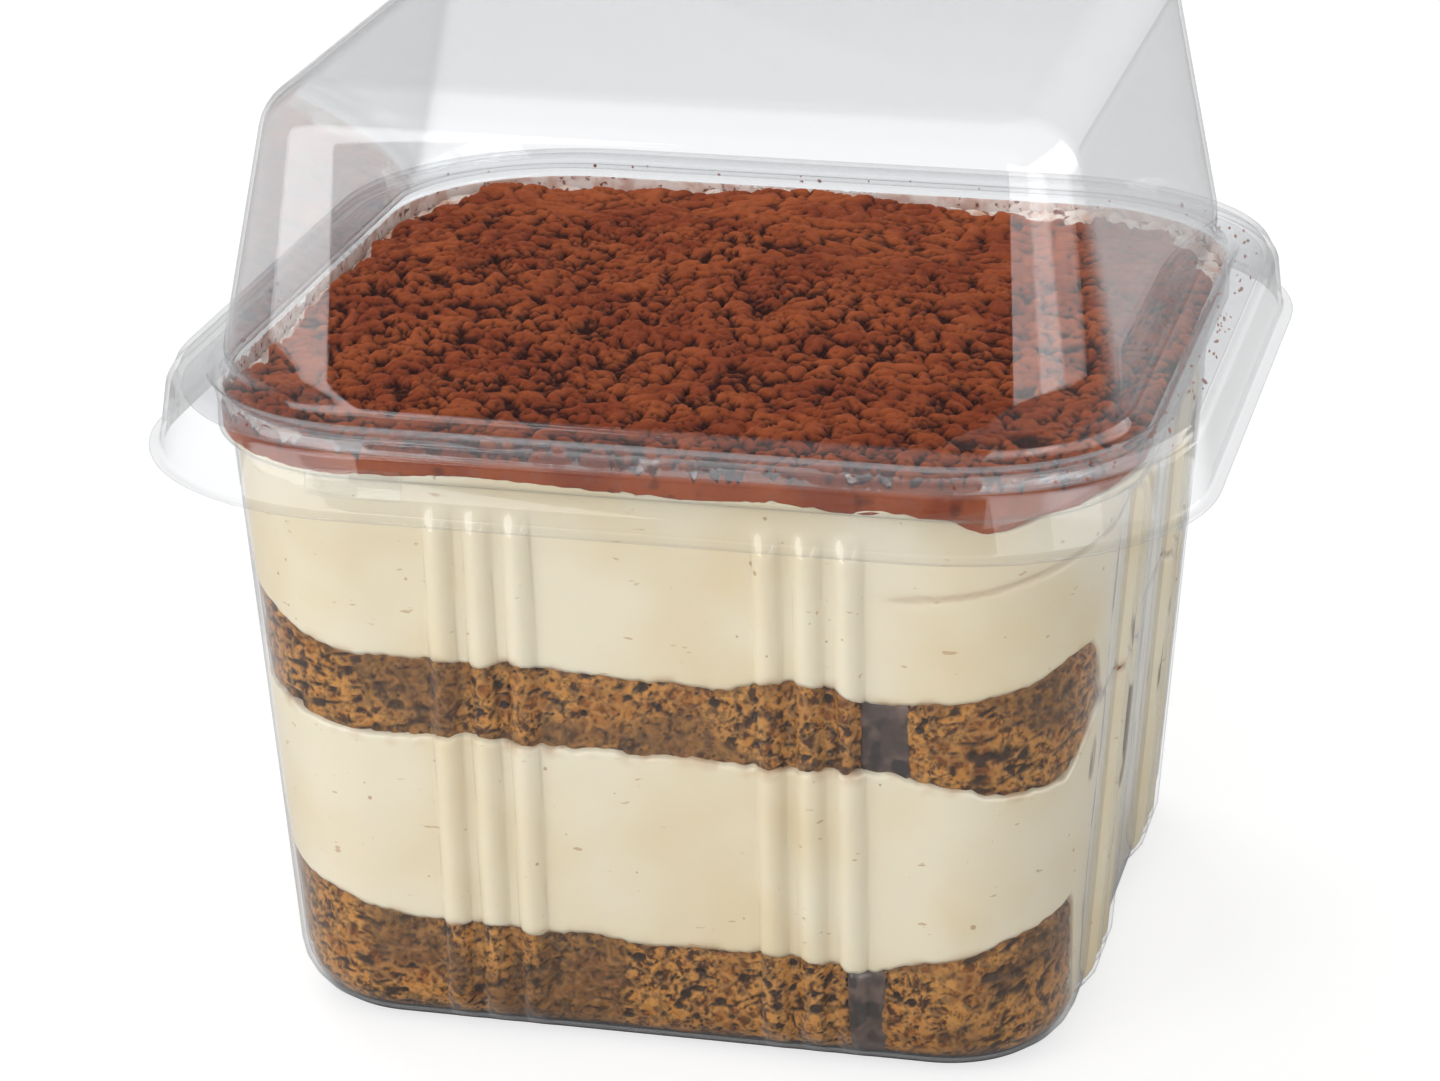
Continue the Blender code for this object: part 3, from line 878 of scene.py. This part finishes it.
def make_cocoa(material):
    """The cocoa layer: a fine grid bent into the cup's outline, with its edge drawn down."""
    steps = 280
    bm = bmesh.new()
    shade_and_patch_layer = bm.verts.layers.float.new("pit_shade_and_patches")
    bare_layer = bm.verts.layers.float.new("bare")
    bmesh.ops.create_grid(bm, x_segments=steps, y_segments=steps, size=1.0)
    half, corner, _ = cup_section(COCOA_Z, FOOD_INSET)
    for vert in bm.verts:
        u, v = vert.co.x, vert.co.y
        edge = max(abs(u), abs(v))
        angle = math.atan2(v, u)
        scale = half
        if edge > 0.0:
            square = reach(angle, 1.0, 0.0)
            scale = lerp(half, reach(angle, half, corner) / square, edge ** 6)
        x, y = u * scale, v * scale
        z, pit_shade_and_patches = cocoa_height(x, y)
        inward = (1.0 - edge) * half
        band = bare_band(x, y)
        ragged_band = band * (1.0 + 0.7 * rough(x, y, 0, 5.0, 12.0)) + 0.6 * rough(x, y, 0, 1.6, 14.0)
        bare = smooth(0.5, -0.5, inward - ragged_band)
        z -= bare * (0.7 + 0.5 * rough(x, y, 0, 2.5, 15.0)) + smooth(1.2, 0.0, inward) * 0.5
        vert.co = Vector((x, y, z)) * MM
        # The stored value paints shade into the pits and creases of the top.
        vert[shade_and_patch_layer] = pit_shade_and_patches * (1.0 - bare)
        vert[bare_layer] = bare
    rim = sorted((v for v in bm.verts if v.is_boundary), key=lambda v: math.atan2(v.co.y, v.co.x))
    tops = [v.co.copy() / MM for v in rim]
    bottom = ragged(upper_cream_top, 0.5, 0.25, 21.0)
    rows = 12
    for row in range(1, rows + 1):
        rim = next_ring(bm, rim)
        ring = []
        for top in tops:
            low = bottom(top.x, top.y) - 0.3
            z = lerp(top.z, low, row / rows)
            wide, round_corner, _ = cup_section(z, FOOD_INSET)
            angle = math.atan2(top.y, top.x)
            out = reach(angle, wide, round_corner) - 0.06 * (1 + rough(top.x, top.y, z, 1.0))
            # Down the edge along the wall the same value holds darker patches at random.
            pit_shade_and_patches = smooth(0.2, 0.6, rough(top.x, top.y, z, 1.6, 30.0))
            ring.append((out * math.cos(angle), out * math.sin(angle), z, 0.35 * pit_shade_and_patches, 0.0))
        place_ring(rim, ring, [shade_and_patch_layer, bare_layer])
    bmesh.ops.contextual_create(bm, geom=rim)
    bmesh.ops.recalc_face_normals(bm, faces=bm.faces)
    return piece("cocoa_powder", bm, material, "cocoa")


def make_smears(material):
    """A thin broken film of cream and cocoa on the cup's inner wall above the cocoa."""
    places = stations([110], 40)
    rings = []
    levels = [64.0, 64.6, 65.2, 65.8, RIM_TOP - 0.4]
    skins = [(z, WALL + 0.05) for z in levels] + [(z, WALL + 0.14) for z in reversed(levels)]
    for z, inset in skins:
        half, corner, _ = cup_section(z, inset)
        ring = []
        for x, y, _ in square_ring(places, z, half, corner):
            back = smooth(-25.0, 30.0, y)
            left = smooth(-20.0, -40.0, x) * 0.8
            high = smooth(65.3, RIM_TOP, z)
            cover = max(back, left, 0.35) * (1.0 - 0.45 * high) + 0.2 * rough(x, y, z, 8.0)
            ring.append((x, y, z, cover))
        rings.append(ring)
    bm = loft(rings, attributes=("cover",), closed=True)
    return piece("wall_smears", bm, material)


def make_dust(material):
    """Grains of cocoa on the cup's rim and in the lid's groove, thickest at the right."""
    rng = random.Random(41)
    bm = bmesh.new()
    made = 0
    while made < 130:
        angle = rng.uniform(-math.pi, math.pi)
        crowd = 0.16 + 0.84 * max(0.0, math.cos(angle - 0.15)) ** 3
        crowd = max(crowd, 0.4 * max(0.0, math.cos(angle + 2.9)) ** 8)
        if rng.random() > crowd:
            continue
        out = reach(angle, rng.uniform(MOUTH_HALF + 0.2, RIM_HALF - 0.3), 22.0)
        spot = Vector((out * math.cos(angle), out * math.sin(angle), RIM_TOP + 0.08))
        size = rng.uniform(0.07, 0.24) * rng.uniform(0.6, 1.2)
        turn = Euler((rng.uniform(0, 3), rng.uniform(0, 3), rng.uniform(0, 3))).to_matrix().to_4x4()
        grow = Matrix.Diagonal((rng.uniform(0.7, 1.8), 1.0, rng.uniform(0.5, 0.9), 1.0))
        matrix = Matrix.Translation(spot * MM) @ turn @ grow
        bmesh.ops.create_icosphere(bm, subdivisions=1, radius=size * MM, matrix=matrix)
        made += 1
    return piece("cocoa_dust", bm, material)


# ---------------------------------------------------------------- stage

# Metres from here on. A black card stands between two bright boards, in one plane before the cup.
CARD_AWAY = 1.2
CARD_LEFT = -0.41
CARD_RIGHT = 0.66
CARD_TOP = 0.6
CARD_BOTTOM = -0.2
WINDOW_SPAN = 2.6
WINDOW_TOP = 1.4

# Light from all round, light that the film mirrors, and the power of the two small lamps.
AMBIENT = 0.32
MIRRORED_WHITE = 0.8
KEY_POWER = 9.0
TOP_POWER = 3.0

FLOOR_GLOW = 1.22
FLOOR_GLOW_SHARE = 0.6

# Camera: seen a little from the right and from above, with a long lens.
VIEW_AZIMUTH = 13.5
VIEW_ELEVATION = 20.47
VIEW_ROLL = -0.49
VIEW_DISTANCE = 0.496
VIEW_AIM_SIDE = -0.0026
VIEW_AIM_HEIGHT = 0.0407
LENS = 116.9


def make_floor():
    """A plain white floor that keeps the object's shadow and reads as white far off."""
    bm = bmesh.new()
    bmesh.ops.create_grid(bm, x_segments=1, y_segments=1, size=4.0)
    mesh = bpy.data.meshes.new("floor")
    bm.to_mesh(mesh)
    bm.free()
    paint = Paint("floor")
    diffuse = paint.add("ShaderNodeBsdfDiffuse", {}, {"Color": (0.86, 0.86, 0.86, 1.0)})
    glow = paint.add("ShaderNodeEmission", {}, {"Color": (1.0, 1.0, 1.0, 1.0), "Strength": FLOOR_GLOW})
    path = paint.add("ShaderNodeLightPath")
    seen = Value(paint, path.outputs["Is Camera Ray"])
    shader = paint.add("ShaderNodeMixShader", {}, {
        0: seen * FLOOR_GLOW_SHARE,
        1: diffuse.outputs[0],
        2: glow.outputs[0],
    })
    mesh.materials.append(paint.surface(shader))
    floor = bpy.data.objects.new("floor", mesh)
    bpy.context.scene.collection.objects.link(floor)


def make_card():
    """A black card behind the camera that only the gloss sees, as a studio flag between lamps."""
    bm = bmesh.new()
    bmesh.ops.create_grid(bm, x_segments=1, y_segments=1, size=0.5)
    scale = Vector((CARD_RIGHT - CARD_LEFT, CARD_TOP - CARD_BOTTOM, 1.0))
    bmesh.ops.scale(bm, vec=scale, verts=bm.verts)
    bmesh.ops.rotate(bm, matrix=Matrix.Rotation(math.radians(90), 3, "X"), verts=bm.verts)
    middle = Vector(((CARD_LEFT + CARD_RIGHT) / 2, -CARD_AWAY, (CARD_TOP + CARD_BOTTOM) / 2))
    bmesh.ops.translate(bm, vec=middle, verts=bm.verts)
    mesh = bpy.data.meshes.new("card")
    bm.to_mesh(mesh)
    bm.free()
    paint = Paint("card")
    mesh.materials.append(paint.surface(paint.add("ShaderNodeBsdfDiffuse", {}, {"Color": (0, 0, 0, 1)})))
    card = bpy.data.objects.new("card", mesh)
    bpy.context.scene.collection.objects.link(card)
    card.visible_camera = False
    card.visible_diffuse = False
    card.visible_shadow = False
    card.visible_transmission = False


def panel(name, centre, size, turn, power):
    """A rectangular lamp. Unturned, it faces +Y."""
    data = bpy.data.lights.new(name, "AREA")
    data.shape = "RECTANGLE"
    data.size, data.size_y = size
    data.energy = power
    lamp = bpy.data.objects.new(name, data)
    lamp.location = centre
    lamp.rotation_euler = Euler((math.radians(90 + turn[0]), 0, math.radians(turn[1])))
    bpy.context.scene.collection.objects.link(lamp)
    return lamp


def panel_between(name, low, high, radiance, glow):
    """A lamp that fills a rectangle of x and z beside the black card, with an added mirrored glow."""
    size = (high[0] - low[0], high[1] - low[1])
    centre = ((low[0] + high[0]) / 2, -CARD_AWAY - 0.01, (low[1] + high[1]) / 2)
    power = math.pi * size[0] * size[1]
    panel(name, centre, size, (0, 0), radiance * power)
    behind = (centre[0], centre[1] + 0.005, centre[2])
    lamp = panel(name + "_glow", behind, size, (0, 0), glow * power)
    lamp.visible_diffuse = False


def make_lights():
    panel_between("left_window", (-WINDOW_SPAN, 0.0), (CARD_LEFT, WINDOW_TOP), 2.5, 3.6)
    panel_between("right_board", (CARD_RIGHT, 0.0), (2 * WINDOW_SPAN, WINDOW_TOP), 0.5, 3.9)
    panel("front_top", (0.1, -0.8, 1.15), (1.7, 1.2), (-48, 0), 5.0)
    side = panel("side_glow", (1.6, 0.4, 0.7), (3.2, 1.4), (0, 90), 3.6 * math.pi * 3.2 * 1.4)
    side.visible_diffuse = False
    for name, centre, turn, power in (("key", (-0.7, 0.9, 0.9), (-38, -142), KEY_POWER),
                                      ("top", (0.1, 0.2, 1.5), (-90, 0), TOP_POWER)):
        lamp = panel(name, centre, (0.9, 0.9), turn, power)
        lamp.visible_glossy = False
    world = bpy.data.worlds.new("studio")
    world.use_nodes = True
    tree = world.node_tree
    back = tree.nodes["Background"]
    path = tree.nodes.new("ShaderNodeLightPath")
    mirrored = tree.nodes.new("ShaderNodeMapRange")
    mirrored.inputs["To Min"].default_value = AMBIENT
    mirrored.inputs["To Max"].default_value = MIRRORED_WHITE
    tree.links.new(path.outputs["Is Glossy Ray"], mirrored.inputs["Value"])
    seen = tree.nodes.new("ShaderNodeMapRange")
    seen.inputs["To Max"].default_value = 1.0
    tree.links.new(mirrored.outputs[0], seen.inputs["To Min"])
    tree.links.new(path.outputs["Is Camera Ray"], seen.inputs["Value"])
    tree.links.new(seen.outputs[0], back.inputs["Strength"])
    back.inputs["Color"].default_value = (1.0, 1.0, 1.0, 1.0)
    bpy.context.scene.world = world


def make_camera():
    data = bpy.data.cameras.new("camera")
    data.lens = LENS
    data.sensor_width = 36.0
    data.clip_start = 0.01
    camera = bpy.data.objects.new("camera", data)
    azimuth = math.radians(VIEW_AZIMUTH)
    elevation = math.radians(VIEW_ELEVATION)
    right = Vector((math.cos(azimuth), math.sin(azimuth), 0.0))
    back = Vector((math.sin(azimuth) * math.cos(elevation),
                   -math.cos(azimuth) * math.cos(elevation), math.sin(elevation)))
    aim = right * VIEW_AIM_SIDE + Vector((0, 0, VIEW_AIM_HEIGHT))
    camera.location = aim + back * VIEW_DISTANCE
    turn = Euler((math.radians(90) - elevation, 0.0, azimuth)).to_matrix()
    roll = Matrix.Rotation(math.radians(VIEW_ROLL), 3, "Z")
    camera.rotation_euler = (turn @ roll).to_euler()
    bpy.context.scene.collection.objects.link(camera)
    bpy.context.scene.camera = camera


# ---------------------------------------------------------------- build

def main():
    plastic = plastic_material()
    cream = cream_material()
    cocoa = cocoa_material()
    make_cup(plastic)
    make_lid(plastic)
    make_lid_tab(plastic)
    make_cream("cream_lower_fill", cream_base, cream_ceiling, cream, "cream_lower", (True, True))
    make_cream("cream_upper_fill", cream_floor, upper_cream_top, cream, "cream_upper", (True, False))
    make_sponges(sponge_material())
    make_soaked_gaps(soaked_material())
    make_cocoa(cocoa)
    make_smears(smear_material())
    make_dust(cocoa)
    make_floor()
    make_card()
    make_lights()
    make_camera()
    scene = bpy.context.scene
    scene.view_settings.view_transform = "Standard"
    scene.cycles.transparent_max_bounces = 24
    scene.cycles.max_bounces = 4
    scene.cycles.diffuse_bounces = 2
    scene.cycles.glossy_bounces = 2


main()
